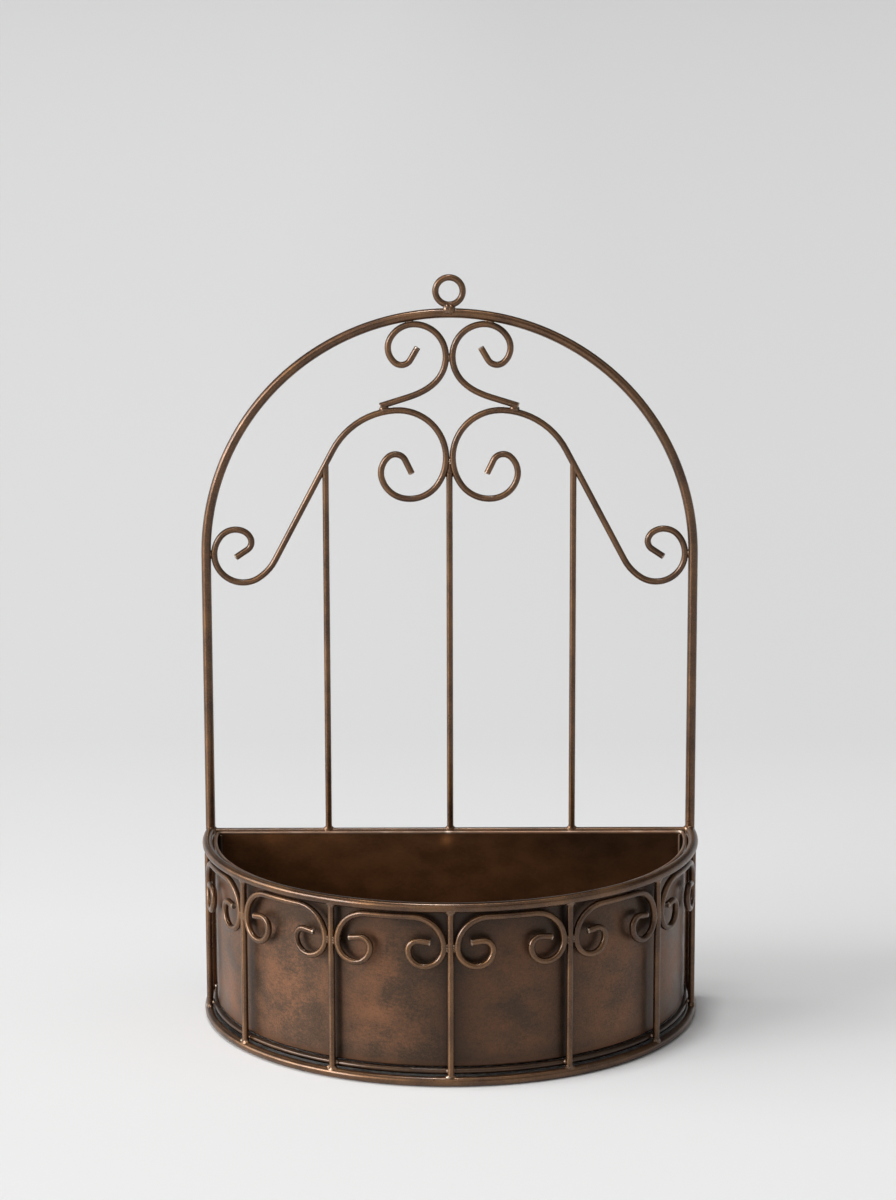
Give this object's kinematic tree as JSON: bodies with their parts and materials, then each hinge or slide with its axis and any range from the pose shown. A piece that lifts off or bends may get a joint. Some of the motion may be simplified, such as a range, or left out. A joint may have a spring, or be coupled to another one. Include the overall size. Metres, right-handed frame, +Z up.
{
  "type": "wall planter",
  "caption": "Half-round wall planter of bent rod: arched scroll trellis with a hanging ring above a cage that holds a lift-out sheet liner.",
  "frame": {"origin": "on the floor plane, under the middle of the planter's overall width and depth", "axes": "+Z up, +X to the right as seen from the front, +Y to the back, where the wall is; the half-round basket bulges towards -Y"},
  "size_m": [0.3076, 0.1722, 0.4587],
  "materials": {
    "bronze_rod": "dark bronze paint, half gloss, rubbed lighter on the high spots",
    "weld_bead": "dark bronze paint over a rough weld",
    "bronze_sheet": "mottled copper and brown bronze paint, half gloss"
  },
  "bodies": {
    "frame": {"arch_hoop": "bronze_rod", "hanging_ring": "bronze_rod", "ring_weld": "weld_bead", "upper_scroll_left": "bronze_rod", "upper_scroll_right": "bronze_rod", "long_scroll_left": "bronze_rod", "long_scroll_right": "bronze_rod", "spindle_left": "bronze_rod", "spindle_centre": "bronze_rod", "spindle_right": "bronze_rod", "back_top_rail": "bronze_rod", "back_bottom_rail": "bronze_rod", "front_rim_rod": "bronze_rod", "base_rod": "bronze_rod", "liner_support_ring": "bronze_rod", "upright_1": "bronze_rod", "upright_2": "bronze_rod", "upright_3": "bronze_rod", "upright_4": "bronze_rod", "upright_5": "bronze_rod", "upright_6": "bronze_rod", "upright_7": "bronze_rod", "basket_scroll_1": "bronze_rod", "basket_scroll_2": "bronze_rod", "basket_scroll_3": "bronze_rod", "basket_scroll_4": "bronze_rod", "basket_scroll_5": "bronze_rod", "basket_scroll_6": "bronze_rod"},
    "liner": {"liner_wall": "bronze_sheet", "liner_back": "bronze_sheet", "liner_floor": "bronze_sheet", "liner_hem": "bronze_sheet"}
  },
  "joints": [
    {"name": "liner_lift", "type": "slide", "parent": "frame", "child": "liner", "axis": [0, 0, 1], "range_m": [0, 0.125]}
  ]
}
